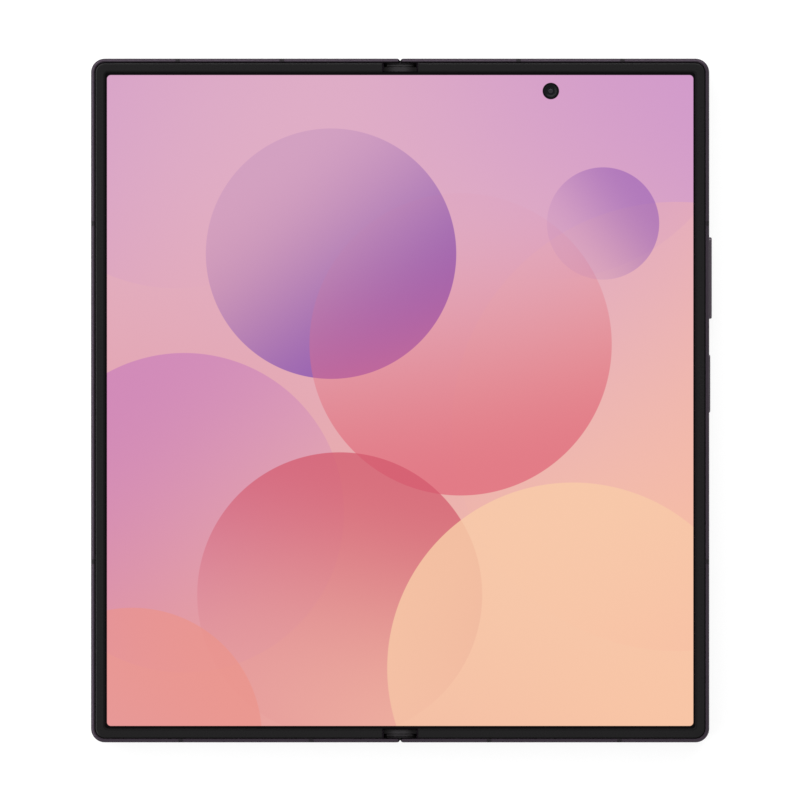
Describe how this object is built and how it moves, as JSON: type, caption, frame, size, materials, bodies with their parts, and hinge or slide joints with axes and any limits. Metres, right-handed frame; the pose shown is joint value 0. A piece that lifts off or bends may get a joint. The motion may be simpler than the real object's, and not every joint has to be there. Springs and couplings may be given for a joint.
{
  "type": "foldable smartphone",
  "caption": "Book-style folding phone lying open, with a flexible inner screen, a geared two-axis hinge, side keys, a rear camera island and a SIM tray.",
  "frame": {"origin": "centre of the fold line, level with the lowest face, which is that of the lens rings", "axes": "+Z out of the screen, +X to the right of someone who looks at it, +Y to its top edge"},
  "size_m": [0.1439, 0.1584, 0.0061],
  "materials": {
    "frame_metal": "dark plum-grey anodised, satin",
    "antenna_plastic": "dark satin plastic",
    "soft_bezel": "near-black soft plastic",
    "cap_plastic": "near-black satin plastic",
    "rear_glass": "dark matte-coated cover",
    "outer_glass": "glossy black, screen off",
    "outer_panel": "screen off",
    "island_metal": "satin",
    "lens_glass": "dark coated glass",
    "black_plastic": "black",
    "flash_lens": "frosted lens",
    "screen": "lit screen with a soft pink to peach picture",
    "board": "solder mask",
    "battery_foil": "wrapped cell",
    "carbon_plate": "carbon fibre laminate",
    "hinge_steel": "machined",
    "screw_steel": "plated",
    "shield_steel": "stamped sheet",
    "magnet": "nickel plated",
    "copper": "copper"
  },
  "bodies": {
    "spine": {"hinge_spine": "frame_metal", "hinge_end_caps": "cap_plastic", "hinge_bases": "hinge_steel", "base_screws": "screw_steel", "gear_shafts": "hinge_steel", "friction_washers": "hinge_steel", "centre_plate": "hinge_steel", "flex_cables": "copper", "display_fold": "screen"},
    "right_half": {"right_frame": "frame_metal", "right_antenna_breaks": "antenna_plastic", "right_bezel": "soft_bezel", "rear_cover": "rear_glass", "camera_island": "island_metal", "lens_rings": "island_metal", "lens_glasses": "lens_glass", "camera_modules": "black_plastic", "flash_window": "flash_lens", "main_board": "board", "board_shield": "shield_steel", "right_battery": "battery_foil", "charging_coil": "copper", "usb_port": "shield_steel", "loudspeaker": "black_plastic", "vibration_motor": "shield_steel", "key_switches": "copper", "right_magnets": "magnet", "inner_camera": "black_plastic", "inner_camera_window": "lens_glass", "display_right": "screen", "right_support_plate": "carbon_plate", "right_rails": "hinge_steel", "right_arm_guides": "hinge_steel", "right_bracket_screws": "screw_steel"},
    "left_half": {"left_frame": "frame_metal", "left_antenna_breaks": "antenna_plastic", "left_bezel": "soft_bezel", "outer_glass": "outer_glass", "outer_display": "outer_panel", "outer_camera": "black_plastic", "earpiece": "black_plastic", "sub_board": "board", "left_battery": "battery_foil", "sim_reader": "shield_steel", "left_magnets": "magnet", "display_left": "screen", "left_support_plate": "carbon_plate", "left_rails": "hinge_steel", "left_arm_guides": "hinge_steel", "left_bracket_screws": "screw_steel"},
    "right_wing": {"right_wing": "hinge_steel"},
    "left_wing": {"left_wing": "hinge_steel"},
    "right_sync": {"right_sync_arms": "hinge_steel"},
    "left_sync": {"left_sync_arms": "hinge_steel"},
    "right_idler": {"right_idlers": "hinge_steel"},
    "left_idler": {"left_idlers": "hinge_steel"},
    "volume": {"volume_key": "frame_metal"},
    "power": {"power_key": "frame_metal"},
    "sim": {"sim_tray": "frame_metal"}
  },
  "joints": [
    {"name": "right_fold", "type": "hinge", "parent": "spine", "child": "right_half", "pos_m": [0.00133, 0, 0.00502], "axis": [0, -1, 0], "range_deg": [0, 90], "deforming": ["display_fold"]},
    {"name": "left_fold", "type": "hinge", "parent": "spine", "child": "left_half", "pos_m": [-0.00133, 0, 0.00502], "axis": [0, 1, 0], "range_deg": [0, 90], "deforming": ["flex_cables"]},
    {"name": "right_wing_tilt", "type": "hinge", "parent": "right_half", "child": "right_wing", "pos_m": [0.0042, 0, 0.00515], "axis": [0, 1, 0], "range_deg": [-21, 0]},
    {"name": "left_wing_tilt", "type": "hinge", "parent": "left_half", "child": "left_wing", "pos_m": [-0.0042, 0, 0.00515], "axis": [0, 1, 0], "range_deg": [0, 21]},
    {"name": "right_sync_turn", "type": "hinge", "parent": "spine", "child": "right_sync", "pos_m": [0.00215, 0, 0.0039], "axis": [0, 1, 0], "range_deg": [-90, 0]},
    {"name": "left_sync_turn", "type": "hinge", "parent": "spine", "child": "left_sync", "pos_m": [-0.00215, 0, 0.0039], "axis": [0, 1, 0], "range_deg": [0, 90]},
    {"name": "right_idler_turn", "type": "hinge", "parent": "spine", "child": "right_idler", "pos_m": [0.00072, 0, 0.0039], "axis": [0, 1, 0], "range_deg": [0, 90]},
    {"name": "left_idler_turn", "type": "hinge", "parent": "spine", "child": "left_idler", "pos_m": [-0.00072, 0, 0.0039], "axis": [0, 1, 0], "range_deg": [-90, 0]},
    {"name": "volume_rock", "type": "hinge", "parent": "right_half", "child": "volume", "pos_m": [0.0701, 0.0284, 0.0037], "axis": [0, 0, 1], "range_deg": [-1.2, 1.2], "stiffness_Nm_per_rad": 0.6},
    {"name": "power_press", "type": "slide", "parent": "right_half", "child": "power", "axis": [-1, 0, 0], "range_m": [0, 0.0002], "stiffness_N_per_m": 4000},
    {"name": "sim_slide", "type": "slide", "parent": "left_half", "child": "sim", "axis": [0, -1, 0], "range_m": [0, 0.018]}
  ],
  "couplings": [
    {"joint": "left_fold", "follows": "right_fold", "ratio": 1},
    {"joint": "right_wing_tilt", "follows": "right_fold", "ratio": -0.23333},
    {"joint": "left_wing_tilt", "follows": "right_fold", "ratio": 0.23333},
    {"joint": "right_sync_turn", "follows": "right_fold", "ratio": -1},
    {"joint": "left_sync_turn", "follows": "right_fold", "ratio": 1},
    {"joint": "right_idler_turn", "follows": "right_fold", "ratio": 1},
    {"joint": "left_idler_turn", "follows": "right_fold", "ratio": -1}
  ]
}
